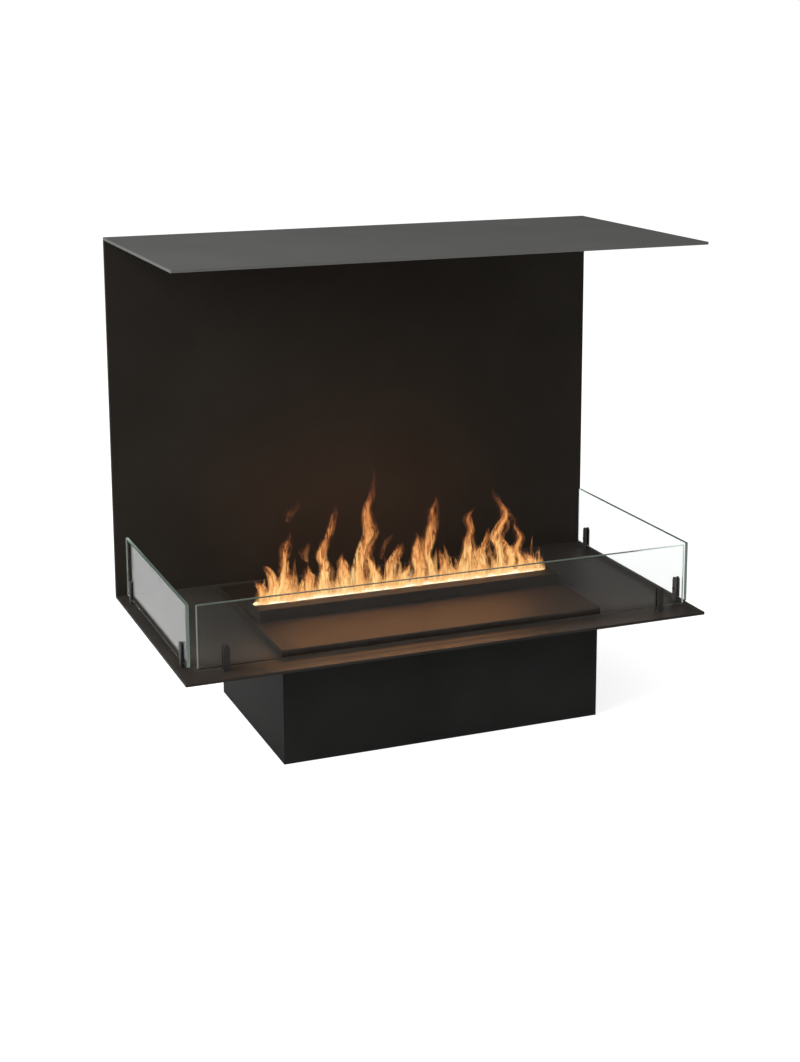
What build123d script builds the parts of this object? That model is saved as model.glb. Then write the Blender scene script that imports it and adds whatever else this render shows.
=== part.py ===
from build123d import *
import os
from math import cos, radians, sin

# Three-sided water vapour fireplace. Millimetres, X to the right, Y to the back, +Z up.
# The origin is the middle of the footprint, on the floor that the burner housing stands on.
os.makedirs("parts", exist_ok=True)

# Portal: back panel, canopy and hearth plate
width = 1000
hearth_depth = 525
canopy_depth = 500
portal_height = 700
plate = 5
sheet = 2
panel_depth = 10
rib_x = 330
rib_width = 60
rib_foot = 16
boss_spacing_x = 800
boss_spacing_z = 480
panel_screw_pitch = 400
panel_screw_row = 3

# Burner housing under the hearth plate
housing_width = 618
housing_depth = 385
housing_height = 195
flange = 12
screw_inset = 13
burner_mid = -2.5

# Burner cover and nozzle bar on the hearth plate
cover_width = 624
cover_depth = 394
cover_height = 14
bar_width = 606
bar_depth = 76
bar_height = 22
slot_length = 582
slot_width = 16
vane_count = 35

# Glass screens and their clips
glass = 6
glass_height = 115
glass_gap = 8
glass_mid_x = 3
side_glass_x = 484.5
side_glass_length = 440
side_glass_y = 8.5
front_glass_y = -221.5
front_glass_length = 944
glass_bevel = 1.2
clip_across = 12.4
clip_along = 12
clip_height = 47
clip_sheet = 2.2
clamp_z = 24
front_clip_x = 421.5
side_clip_offset = 185.5

# Water tank, mist hood and fans
tank_length = 400
tank_depth = 200
tank_low = 14
tank_high = 124
tank_wall = 3
tank_floor = 4
hood_neck_low = 190
hood_top = 226
throat_length = 584
throat_depth = 44
fan_size = 60
fan_thick = 20
fan_z = 90
fan_bore = 28
blade_count = 7
filler_x = 150
filler_y = 117
filler_radius = 22
pocket_width = 90
pocket_rear = 170

# Service flap over the filler and the power switch
flap_x = 190
flap_opening = (176, 88)
flap_size = (188, 102)
flap_lift = 0.3
pin_radius = 1.5
running_gap = 0.06
knuckle_radius = 3.2

# Screw sizes
m4 = 2
m4_shank = 1.95
m4_head = 3.5

# Levels and planes that follow from the sizes above
rear = hearth_depth / 2
hearth_top = housing_height + plate
canopy_under = housing_height + portal_height - plate
canopy_top = canopy_under + plate
panel_mid_z = (hearth_top + canopy_under) / 2
cover_top = hearth_top + cover_height
bar_top = cover_top + bar_height
glass_low = hearth_top + glass_gap
opening_x = housing_width - 2 * flange
opening_y = housing_depth - 2 * flange
screw_y = rear - 4
burner = Plane((0, burner_mid, 0))
rear_face = Plane.XZ.offset(-rear)


def save(piece, name):
    """Name a finished piece and write its file."""
    piece.part.label = name
    export_step(piece.part, f"parts/{name}.step")


def upright(origin, across):
    """A plane whose normal points along `across` and whose y axis points up."""
    normal = Vector(*across)
    return Plane(origin, x_dir=Vector(0, 0, 1).cross(normal), z_dir=normal)


# Back panel: a pan folded from 2 mm sheet, open to the rear
with BuildPart() as back_panel:
    with BuildSketch(rear_face):
        with Locations((0, panel_mid_z)):
            Rectangle(width, canopy_under - hearth_top)
    extrude(amount=panel_depth)
    with BuildSketch(rear_face):
        with Locations((0, panel_mid_z)):
            Rectangle(width - 2 * sheet, canopy_under - hearth_top - 2 * sheet)
    extrude(amount=panel_depth - sheet, mode=Mode.SUBTRACT)
    with BuildSketch(Plane.XY.offset(hearth_top)):
        with Locations((0, screw_y)):
            with GridLocations(panel_screw_pitch, 1, panel_screw_row, 1):
                Circle(m4 + 0.1)
    extrude(amount=canopy_under - hearth_top, mode=Mode.SUBTRACT)
save(back_panel, "back_panel")

# Panel ribs: two hat sections that stiffen the panel from behind
with BuildPart() as panel_ribs:
    with BuildSketch(Plane.XY.offset(hearth_top + 3 * sheet)):
        with GridLocations(2 * rib_x, 1, 2, 1):
            with Locations((0, rear - sheet / 2)):
                Rectangle(rib_width, sheet)
            with Locations((0, rear - (panel_depth - sheet) / 2)):
                with GridLocations(rib_width - sheet, 1, 2, 1):
                    Rectangle(sheet, panel_depth - sheet)
            with Locations((0, rear - panel_depth + 1.5 * sheet)):
                with GridLocations(rib_width + rib_foot, 1, 2, 1):
                    Rectangle(rib_foot + 2 * sheet, sheet)
    extrude(amount=canopy_under - hearth_top - 6 * sheet)
save(panel_ribs, "panel_ribs")

# Wall bosses: four hexagonal weld nuts inside the pan, for the wall bracket
boss_face = Plane.XZ.offset(-(rear - panel_depth + sheet))
boss_length = panel_depth - sheet - 0.5
with BuildPart() as wall_bosses:
    with BuildSketch(boss_face):
        with Locations((0, panel_mid_z)):
            with GridLocations(boss_spacing_x, boss_spacing_z, 2, 2):
                RegularPolygon(7, 6)
                Circle(2.5, mode=Mode.SUBTRACT)
    extrude(amount=-boss_length)
save(wall_bosses, "wall_bosses")

# Canopy: a plain plate that stands out from the top of the panel
with BuildPart() as canopy_plate:
    with BuildSketch(Plane.XY.offset(canopy_under)):
        with Locations((0, rear - canopy_depth / 2)):
            Rectangle(width, canopy_depth)
    extrude(amount=plate)
    chamfer(canopy_plate.edges().filter_by(Axis.Z), 0.8)
    with BuildSketch(Plane.XY.offset(canopy_under)):
        with Locations((0, screw_y)):
            with GridLocations(panel_screw_pitch, 1, panel_screw_row, 1):
                Circle(m4)
    extrude(amount=plate - 1, mode=Mode.SUBTRACT)
save(canopy_plate, "canopy_plate")

# Places of the housing screws, in the burner's own plane
long_side_spots = GridLocations(180, housing_depth - screw_inset, 4, 2)
short_side_spots = GridLocations(housing_width - screw_inset, 200, 2, 2)
housing_spots = list(long_side_spots) + list(short_side_spots)

# Each clip stands on its own plane: x points inward across the glass, y runs along it
clip_planes = []
for side in (-1, 1):
    spot = (glass_mid_x + side * front_clip_x, front_glass_y, hearth_top)
    clip_planes.append(Plane(spot, x_dir=(0, 1, 0)))
    for end in (-1, 1):
        spot = (glass_mid_x + side * side_glass_x, side_glass_y + end * side_clip_offset, hearth_top)
        clip_planes.append(Plane(spot, x_dir=(-side, 0, 0)))

# Hearth plate: cut out over the housing, with through holes for the clips and blind ones for the rest
with BuildPart() as hearth_plate:
    with BuildSketch(Plane.XY.offset(housing_height)):
        Rectangle(width, hearth_depth)
    extrude(amount=plate)
    chamfer(hearth_plate.edges().filter_by(Axis.Z), 0.8)
    with BuildSketch(burner.offset(housing_height)):
        Rectangle(opening_x, opening_y)
    extrude(amount=plate, mode=Mode.SUBTRACT)
    with BuildSketch(burner.offset(housing_height)):
        with Locations(*housing_spots):
            Circle(m4)
    extrude(amount=plate - 1, mode=Mode.SUBTRACT)
    with BuildSketch(Plane.XY.offset(hearth_top)):
        with Locations((0, screw_y)):
            with GridLocations(panel_screw_pitch, 1, panel_screw_row, 1):
                Circle(m4)
    extrude(amount=1 - plate, mode=Mode.SUBTRACT)
    for clip in clip_planes:
        with BuildSketch(clip):
            Circle(m4)
        extrude(amount=-plate, mode=Mode.SUBTRACT)
save(hearth_plate, "hearth_plate")

# Panel screws: hexagon-head screws from inside the pan into the canopy and the hearth plate
head_high = 2.6
with BuildPart() as panel_screws:
    for level, up in ((canopy_under - sheet, 1), (hearth_top + sheet, -1)):
        with BuildSketch(Plane.XY.offset(level)):
            with Locations((0, screw_y)):
                with GridLocations(panel_screw_pitch, 1, panel_screw_row, 1):
                    RegularPolygon(m4_head, 6)
        extrude(amount=-up * head_high)
        with BuildSketch(Plane.XY.offset(level)):
            with Locations((0, screw_y)):
                with GridLocations(panel_screw_pitch, 1, panel_screw_row, 1):
                    RegularPolygon(m4_shank, 8)
        extrude(amount=up * (sheet + plate - 1.5))
save(panel_screws, "panel_screws")

# Burner housing: an open-topped folded box with an inward flange, vents and two holes
vent_rows = 7
gland_x = 250
gland_z = 40
drain_y = -70
housing_rear = Plane.XZ.offset(-(burner_mid + housing_depth / 2))
with BuildPart() as burner_housing:
    with BuildSketch(burner):
        Rectangle(housing_width, housing_depth)
    extrude(amount=housing_height)
    with BuildSketch(burner.offset(sheet)):
        Rectangle(housing_width - 2 * sheet, housing_depth - 2 * sheet)
    extrude(amount=housing_height - 2 * sheet, mode=Mode.SUBTRACT)
    with BuildSketch(burner.offset(housing_height - sheet)):
        Rectangle(opening_x, opening_y)
        with Locations(*housing_spots):
            Circle(m4 + 0.1)
    extrude(amount=sheet, mode=Mode.SUBTRACT)
    with BuildSketch(housing_rear):
        with Locations((-230, 110), (60, 110)):
            with GridLocations(1, 12, 1, vent_rows):
                Rectangle(90, 5)
        with Locations((gland_x, gland_z)):
            Circle(10)
    extrude(amount=sheet, mode=Mode.SUBTRACT)
    with BuildSketch(burner):
        with Locations((0, drain_y)):
            Circle(16)
    extrude(amount=sheet, mode=Mode.SUBTRACT)
save(burner_housing, "burner_housing")

# Housing screws: up through the flange into the hearth plate
with BuildPart() as housing_screws:
    with BuildSketch(burner.offset(housing_height - sheet)):
        with Locations(*housing_spots):
            RegularPolygon(m4_head, 6)
    extrude(amount=-head_high)
    with BuildSketch(burner.offset(housing_height - sheet)):
        with Locations(*housing_spots):
            RegularPolygon(m4_shank, 8)
    extrude(amount=sheet + plate - 1.5)
save(housing_screws, "housing_screws")


def make_pane(name, centre, along_x, along_y):
    """A glass pane with all its edges bevelled, standing in the clips."""
    with BuildPart() as pane:
        with BuildSketch(Plane(centre).offset(glass_low)):
            Rectangle(along_x, along_y)
        extrude(amount=glass_height)
        chamfer(pane.edges(), glass_bevel)
    save(pane, name)


# Glass: two side panes and the front pane, with an open gap at each front corner
make_pane("glass_left", (glass_mid_x - side_glass_x, side_glass_y, 0), glass, side_glass_length)
make_pane("glass_front", (glass_mid_x, front_glass_y, 0), front_glass_length, glass)
make_pane("glass_right", (glass_mid_x + side_glass_x, side_glass_y, 0), glass, side_glass_length)

# Glass clips: U-shaped straps with round-topped legs, one screw in the base, one in the inner leg
round_start = clip_height - clip_along / 2
pad_across = clip_across - 2 * clip_sheet
with BuildPart() as glass_clips:
    for clip in clip_planes:
        outer = upright(clip.origin - clip.x_dir * clip_across / 2, clip.x_dir)
        with BuildSketch(outer):
            Rectangle(clip_along, round_start, align=(Align.CENTER, Align.MIN))
            with Locations((0, round_start)):
                RegularPolygon(clip_along / 2, 12)
        extrude(amount=clip_across)
        with BuildSketch(clip.offset(clip_sheet)):
            Rectangle(pad_across, 2 * clip_along)
        extrude(amount=clip_height, mode=Mode.SUBTRACT)
        with BuildSketch(clip):
            Circle(m4)
        extrude(amount=clip_sheet, mode=Mode.SUBTRACT)
        with BuildSketch(outer.offset(clip_across)):
            with Locations((0, clamp_z)):
                Circle(m4)
        extrude(amount=-clip_sheet, mode=Mode.SUBTRACT)
save(glass_clips, "glass_clips")

# Clip pads: rubber liners that cradle the foot of the glass
with BuildPart() as clip_pads:
    for clip in clip_planes:
        with BuildSketch(clip.offset(clip_sheet)):
            Rectangle(pad_across, clip_along - 1)
        extrude(amount=clip_height - clip_sheet - 3)
        with BuildSketch(clip.offset(glass_gap)):
            Rectangle(glass, clip_along)
        extrude(amount=clip_height, mode=Mode.SUBTRACT)
save(clip_pads, "clip_pads")

# Clamp screws: low domed heads on the inner legs
with BuildPart() as clamp_screws:
    for clip in clip_planes:
        leg = upright(clip.origin + clip.x_dir * clip_across / 2, clip.x_dir)
        with BuildSketch(leg):
            with Locations((0, clamp_z)):
                RegularPolygon(4, 12)
        extrude(amount=2.4, taper=22)
        with BuildSketch(leg):
            with Locations((0, clamp_z)):
                RegularPolygon(m4_shank, 8)
        extrude(amount=-clip_sheet)
save(clamp_screws, "clamp_screws")

# Clip screws: up through the hearth plate into the base of each clip
with BuildPart() as clip_screws:
    for clip in clip_planes:
        with BuildSketch(clip.offset(-plate)):
            RegularPolygon(m4_head, 6)
        extrude(amount=-head_high)
        with BuildSketch(clip.offset(-plate)):
            RegularPolygon(m4_shank, 8)
        extrude(amount=plate + clip_sheet)
save(clip_screws, "clip_screws")

# Burner cover: a low folded tray, with openings for the mist hood and the service flap
lug_width = 60
lug_pitch = 420
lug_gap = 1
hinge_y = filler_y + flap_size[1] / 2 + 3.7
hinge_z = cover_top + flap_lift + knuckle_radius + 0.1
lug_low = housing_height - 7
hinge_plane = Plane((flap_x, burner_mid + hinge_y, hinge_z), x_dir=(0, 1, 0), z_dir=(1, 0, 0))
cover_knuckles = (-72, 0, 72)
cover_knuckle = 16
flap_knuckles = (-36, 36)
flap_knuckle = 52
with BuildPart() as burner_cover:
    with BuildSketch(burner.offset(hearth_top)):
        Rectangle(cover_width, cover_depth)
    extrude(amount=cover_height)
    chamfer(burner_cover.edges().filter_by(Axis.Z), 1.2)
    chamfer(burner_cover.faces().sort_by(Axis.Z)[-1].edges(), 0.8)
    with BuildSketch(burner.offset(hearth_top)):
        Rectangle(cover_width - 2 * sheet, cover_depth - 2 * sheet)
    extrude(amount=cover_height - sheet, mode=Mode.SUBTRACT)
    with BuildSketch(burner.offset(cover_top)):
        Rectangle(bar_width - 5 * sheet, bar_depth - 5 * sheet)
        with Locations((flap_x, filler_y)):
            Rectangle(*flap_opening)
    extrude(amount=-sheet, mode=Mode.SUBTRACT)
    with BuildSketch(burner.offset(lug_low)):
        with GridLocations(lug_pitch, opening_y - 2 * lug_gap - sheet, 2, 2):
            Rectangle(lug_width, sheet)
    extrude(amount=cover_top - sheet / 2 - lug_low)
    for place in cover_knuckles:
        knuckle = hinge_plane.offset(place - cover_knuckle / 2)
        with BuildSketch(knuckle):
            Circle(knuckle_radius)
            with Locations((0, (cover_top - hinge_z - 0.5) / 2)):
                Rectangle(2 * knuckle_radius, hinge_z - cover_top + 0.5)
            Circle(pin_radius, mode=Mode.SUBTRACT)
        extrude(amount=cover_knuckle)
save(burner_cover, "burner_cover")

# Nozzle bar: a folded hat on the cover, with the vapour slot along its top
with BuildPart() as nozzle_bar:
    with BuildSketch(burner.offset(cover_top)):
        Rectangle(bar_width, bar_depth)
    extrude(amount=bar_height)
    chamfer(nozzle_bar.edges().filter_by(Axis.Z), 1.2)
    chamfer(nozzle_bar.faces().sort_by(Axis.Z)[-1].edges(), 0.8)
    with BuildSketch(burner.offset(cover_top)):
        Rectangle(bar_width - 2 * sheet, bar_depth - 2 * sheet)
    extrude(amount=bar_height - sheet, mode=Mode.SUBTRACT)
    with BuildSketch(burner.offset(bar_top)):
        SlotOverall(slot_length, slot_width)
    extrude(amount=-sheet, mode=Mode.SUBTRACT)
save(nozzle_bar, "nozzle_bar")

# Vapour grille: a frame of leaning cross vanes glued under the slot
grille_high = 6
grille_wall = 4
vane_pitch = (slot_length - 4 * grille_wall) / (vane_count + 1)
with BuildPart() as vapour_grille:
    with BuildSketch(burner.offset(bar_top - sheet)):
        Rectangle(slot_length + 2 * grille_wall, slot_width + 2 * grille_wall)
        Rectangle(slot_length - grille_wall, slot_width - grille_wall, mode=Mode.SUBTRACT)
    extrude(amount=-grille_high)
    with BuildSketch(upright((0, burner_mid - slot_width / 2, 0), (0, 1, 0))):
        with Locations((0, bar_top - sheet - grille_high / 2)):
            with GridLocations(vane_pitch, 1, vane_count, 1):
                Rectangle(1.2, grille_high - 0.6, rotation=20)
    extrude(amount=slot_width)
save(vapour_grille, "vapour_grille")

# Service flap: hinged at the rear, over the filler cap and the power switch
flap_low = cover_top + flap_lift
with BuildPart() as service_flap:
    with BuildSketch(burner.offset(flap_low)):
        with Locations((flap_x, filler_y)):
            Rectangle(*flap_size)
    extrude(amount=sheet)
    with BuildSketch(burner.offset(flap_low + sheet)):
        with Locations((flap_x, filler_y - flap_size[1] / 2 + 3)):
            Rectangle(60, 3)
    extrude(amount=3)
    for place in flap_knuckles:
        with BuildSketch(hinge_plane.offset(place - flap_knuckle / 2)):
            Circle(knuckle_radius)
            with Locations((-4, flap_low + sheet / 2 - hinge_z)):
                Rectangle(8, sheet)
            Circle(pin_radius + running_gap, mode=Mode.SUBTRACT)
        extrude(amount=flap_knuckle)
save(service_flap, "service_flap")

with BuildPart() as flap_pin:
    pin_start = cover_knuckles[0] - cover_knuckle / 2
    with BuildSketch(hinge_plane.offset(pin_start)):
        Circle(pin_radius)
    extrude(amount=-2 * pin_start)
save(flap_pin, "flap_pin")

# Water tank: an open tray with a filling pocket at the rear and a fan port in each end wall
pocket_y = (tank_depth / 2 + pocket_rear) / 2
pocket_depth = pocket_rear - tank_depth / 2
fan_screw_spots = [Location((25, 25)), Location((-25, -25))]
left_fan = upright((-tank_length / 2, burner_mid, fan_z), (-1, 0, 0))
right_fan = upright((tank_length / 2, burner_mid, fan_z), (1, 0, 0))
drain_radius = 8
with BuildPart() as water_tank:
    with BuildSketch(burner.offset(tank_low)):
        Rectangle(tank_length, tank_depth)
        with Locations((filler_x, pocket_y)):
            Rectangle(pocket_width, pocket_depth)
    extrude(amount=tank_high - tank_low)
    with BuildSketch(burner.offset(tank_low + tank_floor)):
        Rectangle(tank_length - 2 * tank_wall, tank_depth - 2 * tank_wall)
        with Locations((filler_x, pocket_y - tank_wall - 1)):
            Rectangle(pocket_width - 2 * tank_wall, pocket_depth + 2)
    extrude(amount=tank_high - tank_low - tank_floor, mode=Mode.SUBTRACT)
    for fan in (left_fan, right_fan):
        with BuildSketch(fan):
            RegularPolygon(fan_bore - 1, 48)
            with Locations(*fan_screw_spots):
                Circle(m4)
        extrude(amount=-tank_wall, mode=Mode.SUBTRACT)
    with BuildSketch(burner.offset(tank_low)):
        with Locations((0, drain_y)):
            Circle(drain_radius)
    extrude(amount=tank_floor, mode=Mode.SUBTRACT)
save(water_tank, "water_tank")

with BuildPart() as tank_feet:
    with BuildSketch(burner.offset(sheet)):
        with GridLocations(tank_length - 40, tank_depth - 40, 2, 2):
            RegularPolygon(12, 12)
    extrude(amount=tank_low - sheet, taper=6)
save(tank_feet, "tank_feet")

# Drain plug and washer, reached through the hole in the housing floor
washer = 2
plug_head = 8
with BuildPart() as drain_washer:
    with BuildSketch(burner.offset(tank_low)):
        with Locations((0, drain_y)):
            RegularPolygon(13, 16)
            Circle(drain_radius, mode=Mode.SUBTRACT)
    extrude(amount=-washer)
save(drain_washer, "drain_washer")

with BuildPart() as drain_plug:
    with BuildSketch(burner.offset(tank_low - washer)):
        with Locations((0, drain_y)):
            RegularPolygon(11.5, 6)
    extrude(amount=-plug_head)
    with BuildSketch(burner.offset(tank_low - washer)):
        with Locations((0, drain_y)):
            RegularPolygon(drain_radius - 0.05, 16)
    extrude(amount=washer + tank_floor + 1)
save(drain_plug, "drain_plug")

# Hood gasket and mist hood: the hood narrows from the tank and widens to the full slot
gasket = 1
with BuildPart() as hood_gasket:
    with BuildSketch(burner.offset(tank_high)):
        Rectangle(tank_length, tank_depth)
        Rectangle(tank_length - 2 * tank_wall, tank_depth - 2 * tank_wall, mode=Mode.SUBTRACT)
    extrude(amount=gasket)
save(hood_gasket, "hood_gasket")

hood_low = tank_high + gasket + sheet


def hood_prism(across, inset):
    """A prism with the outline of the hood seen along `across`, for a skin `inset` inside the outer one."""
    foot, neck = (tank_length, throat_length) if across.Y else (tank_depth, throat_depth)
    half_foot = foot / 2 - inset
    half_neck = neck / 2 - inset
    side = [(half_foot, hood_low), (half_neck, hood_neck_low), (half_neck, hood_top)]
    outline = side + [(-x, z) for x, z in reversed(side)] + side[:1]
    with BuildSketch(upright((0, burner_mid, 0), across), mode=Mode.PRIVATE) as section:
        with BuildLine():
            Polyline(*outline)
        make_face()
    return extrude(section.sketch, amount=width, both=True, mode=Mode.PRIVATE)


with BuildPart() as mist_hood:
    add(hood_prism(Vector(0, 1, 0), 0) & hood_prism(Vector(1, 0, 0), 0))
    add(hood_prism(Vector(0, 1, 0), sheet) & hood_prism(Vector(1, 0, 0), sheet), mode=Mode.SUBTRACT)
    with BuildSketch(burner.offset(hood_low)):
        Rectangle(tank_length + 8, tank_depth + 8)
        Rectangle(tank_length - 2 * sheet, tank_depth - 2 * sheet, mode=Mode.SUBTRACT)
    extrude(amount=-sheet)
save(mist_hood, "mist_hood")

# Light bars: channels with a row of lamps, on the two long walls of the throat
light_bar = (566, 6, 12)
lamp_count = 24
light_low = 200
for side, name in ((-1, "light_bar_front"), (1, "light_bar_rear")):
    bar_y = side * (throat_depth / 2 - sheet - light_bar[1] / 2)
    with BuildPart() as bar:
        with BuildSketch(burner.offset(light_low)):
            with Locations((0, bar_y)):
                Rectangle(light_bar[0], light_bar[1])
        extrude(amount=light_bar[2])
        with BuildSketch(burner.offset(light_low + light_bar[2])):
            with Locations((0, bar_y)):
                Rectangle(light_bar[0], light_bar[1] - 2)
        extrude(amount=-2, mode=Mode.SUBTRACT)
        with BuildSketch(burner.offset(light_low + light_bar[2] - 2)):
            with Locations((0, bar_y)):
                with GridLocations(light_bar[0] / lamp_count, 1, lamp_count, 1):
                    Rectangle(4, 3)
        extrude(amount=1.5)
    save(bar, name)

# Mist makers: three round ultrasonic pucks on the tank floor, each with a well over its disc
puck_floor = tank_low + tank_floor
with BuildPart() as mist_makers:
    for size, low, high in ((23, 0, 13), (15, 13, 20)):
        with BuildSketch(burner.offset(puck_floor + low)):
            with GridLocations(120, 1, 3, 1):
                RegularPolygon(size, 24)
        extrude(amount=high - low)
    with BuildSketch(burner.offset(puck_floor + 12)):
        with GridLocations(120, 1, 3, 1):
            RegularPolygon(12, 24)
    extrude(amount=8, mode=Mode.SUBTRACT)
save(mist_makers, "mist_makers")

# Float switch: a collared stem and the ring-shaped float that slides on it
stem_spot = (170, 60)
stem_radius = 4
float_gap = 0.4
float_low = puck_floor + 11.3
with BuildPart() as float_stem:
    with BuildSketch(burner.offset(puck_floor)):
        with Locations(stem_spot):
            RegularPolygon(10, 12)
    extrude(amount=3)
    with BuildSketch(burner.offset(puck_floor)):
        with Locations(stem_spot):
            Circle(stem_radius)
    extrude(amount=92)
    for level in (8, 80):
        with BuildSketch(burner.offset(puck_floor + level)):
            with Locations(stem_spot):
                RegularPolygon(7, 12)
        extrude(amount=3)
save(float_stem, "float_stem")

with BuildPart() as level_float:
    with BuildSketch(burner.offset(float_low)):
        with Locations(stem_spot):
            RegularPolygon(13, 20)
    extrude(amount=20)
    chamfer(level_float.edges().group_by(Axis.Z)[0] + level_float.edges().group_by(Axis.Z)[-1], 3)
    with BuildSketch(burner.offset(float_low)):
        with Locations(stem_spot):
            Circle(stem_radius + float_gap)
    extrude(amount=20, mode=Mode.SUBTRACT)
save(level_float, "level_float")

# Filler neck: a plate over the filling pocket, with an upright tube
neck_top = 186
neck_wall = 3
neck_plate = (pocket_width, pocket_rear - tank_depth / 2 - 5)
with BuildPart() as filler_neck:
    with BuildSketch(burner.offset(tank_high)):
        with Locations((filler_x, pocket_rear - neck_plate[1] / 2)):
            Rectangle(*neck_plate)
    extrude(amount=neck_wall)
    with BuildSketch(burner.offset(tank_high)):
        with Locations((filler_x, filler_y + 12)):
            Circle(filler_radius)
    extrude(amount=neck_top - tank_high)
    with BuildSketch(burner.offset(tank_high)):
        with Locations((filler_x, filler_y + 12)):
            Circle(filler_radius - neck_wall)
    extrude(amount=neck_top - tank_high, mode=Mode.SUBTRACT)
save(filler_neck, "filler_neck")

# Filler cap: a quarter-turn cap with a twelve-sided rim and a finger bar
cap_radius = 26
cap_low = neck_top - 14
cap_inside = neck_top + 0.3
with BuildPart() as filler_cap:
    with BuildSketch(burner.offset(cap_low)):
        with Locations((filler_x, filler_y + 12)):
            RegularPolygon(cap_radius, 12)
    extrude(amount=cap_inside + 3 - cap_low)
    with BuildSketch(burner.offset(cap_inside + 3)):
        with Locations((filler_x, filler_y + 12)):
            Rectangle(40, 8)
    extrude(amount=9, taper=4)
    with BuildSketch(burner.offset(cap_low)):
        with Locations((filler_x, filler_y + 12)):
            Circle(filler_radius + 0.4)
    extrude(amount=cap_inside - cap_low, mode=Mode.SUBTRACT)
save(filler_cap, "filler_cap")


def make_fan_frame(name, fan):
    """A square fan frame with a round duct, four struts and the shaft of the impeller."""
    with BuildPart() as frame:
        with BuildSketch(fan):
            Rectangle(fan_size, fan_size)
            RegularPolygon(fan_bore, 48, mode=Mode.SUBTRACT)
            with Locations(*fan_screw_spots):
                Circle(m4 + 0.1, mode=Mode.SUBTRACT)
        extrude(amount=fan_thick)
        with BuildSketch(fan.offset(fan_thick)):
            RegularPolygon(12, 24)
            Rectangle(2 * fan_bore + 2, 3)
            Rectangle(3, 2 * fan_bore + 2)
        extrude(amount=-2.5)
        with BuildSketch(fan.offset(3)):
            Circle(pin_radius)
        extrude(amount=fan_thick - 4)
    save(frame, name)


def make_impeller(name, fan):
    """A hub with flat pitched blades that widen towards their tips."""
    pitch = radians(38)
    tip = fan_bore - 1.5
    with BuildPart() as impeller:
        with BuildSketch(fan.offset(3)):
            RegularPolygon(12, 28)
        extrude(amount=13)
        for step in range(blade_count):
            angle = radians(360 * step / blade_count)
            outward = fan.x_dir * cos(angle) + fan.y_dir * sin(angle)
            chord = fan.z_dir.cross(outward) * cos(pitch) + fan.z_dir * sin(pitch)
            middle = fan.origin + fan.z_dir * 9.5
            with BuildSketch(Plane(middle, x_dir=outward, z_dir=outward.cross(chord))):
                with BuildLine():
                    Polyline((10, -6), (tip, -8.5), (tip, 8.5), (10, 6), (10, -6))
                make_face()
            extrude(amount=0.8, both=True)
        with BuildSketch(fan.offset(3)):
            Circle(pin_radius + running_gap)
        extrude(amount=13, mode=Mode.SUBTRACT)
    save(impeller, name)


# Fans: one at each end of the tank, blowing in over the water
make_fan_frame("fan_frame_left", left_fan)
make_fan_frame("fan_frame_right", right_fan)
make_impeller("impeller_left", left_fan)
make_impeller("impeller_right", right_fan)

with BuildPart() as fan_screws:
    for fan in (left_fan, right_fan):
        with BuildSketch(fan.offset(fan_thick)):
            with Locations(*fan_screw_spots):
                RegularPolygon(m4_head, 6)
        extrude(amount=head_high)
        with BuildSketch(fan.offset(fan_thick)):
            with Locations(*fan_screw_spots):
                RegularPolygon(m4_shank, 8)
        extrude(amount=-fan_thick - tank_wall)
save(fan_screws, "fan_screws")

# Control board on four standoffs, in the left bay
board = (70, 180)
board_spot = (-266, -60)
board_low = sheet + 10
board_thick = 1.6
with BuildPart() as board_standoffs:
    with BuildSketch(burner.offset(sheet)):
        with Locations(board_spot):
            with GridLocations(board[0] - 10, board[1] - 10, 2, 2):
                RegularPolygon(3.5, 6)
    extrude(amount=board_low - sheet)
save(board_standoffs, "board_standoffs")

with BuildPart() as control_board:
    with BuildSketch(burner.offset(board_low)):
        with Locations(board_spot):
            Rectangle(*board)
    extrude(amount=board_thick)
    with BuildSketch(burner.offset(board_low + board_thick)):
        with Locations(board_spot):
            with Locations((-16, -50), (-16, -28)):
                Rectangle(16, 19)
    extrude(amount=15)
    with BuildSketch(burner.offset(board_low + board_thick)):
        with Locations(board_spot):
            with Locations((14, -52), (14, -36), (14, -20)):
                RegularPolygon(6, 16)
    extrude(amount=18)
    with BuildSketch(burner.offset(board_low + board_thick)):
        with Locations(board_spot):
            with Locations((0, 10)):
                with GridLocations(4, 1, 8, 1):
                    Rectangle(1.4, 30)
                Rectangle(30, 1.4)
    extrude(amount=20)
    with BuildSketch(burner.offset(board_low + board_thick)):
        with Locations(board_spot):
            with Locations((0, 78)):
                with GridLocations(12, 1, 5, 1):
                    Rectangle(10, 8)
            with Locations((8, 50)):
                Rectangle(24, 24)
    extrude(amount=8)
save(control_board, "control_board")

# Power supply: a vented steel case, in the right bay
supply = (74, 160, 42)
supply_spot = (266, -80)
with BuildPart() as power_supply:
    with BuildSketch(burner.offset(sheet)):
        with Locations(supply_spot):
            Rectangle(supply[0], supply[1])
    extrude(amount=supply[2])
    chamfer(power_supply.edges().filter_by(Axis.Z), 1)
    with BuildSketch(burner.offset(sheet + supply[2])):
        with Locations(supply_spot):
            with Locations((0, -10)):
                with GridLocations(60, 8, 1, 14):
                    Rectangle(50, 3)
    extrude(amount=-1.5, mode=Mode.SUBTRACT)
    with BuildSketch(burner.offset(sheet + supply[2])):
        with Locations((supply_spot[0], supply_spot[1] + supply[1] / 2 - 6)):
            Rectangle(supply[0] - 6, 12)
    extrude(amount=-20, mode=Mode.SUBTRACT)
    with BuildSketch(burner.offset(sheet + supply[2] - 20)):
        with Locations((supply_spot[0], supply_spot[1] + supply[1] / 2 - 6)):
            with GridLocations(12, 1, 5, 1):
                Rectangle(6, 6)
    extrude(amount=4)
save(power_supply, "power_supply")

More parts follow.
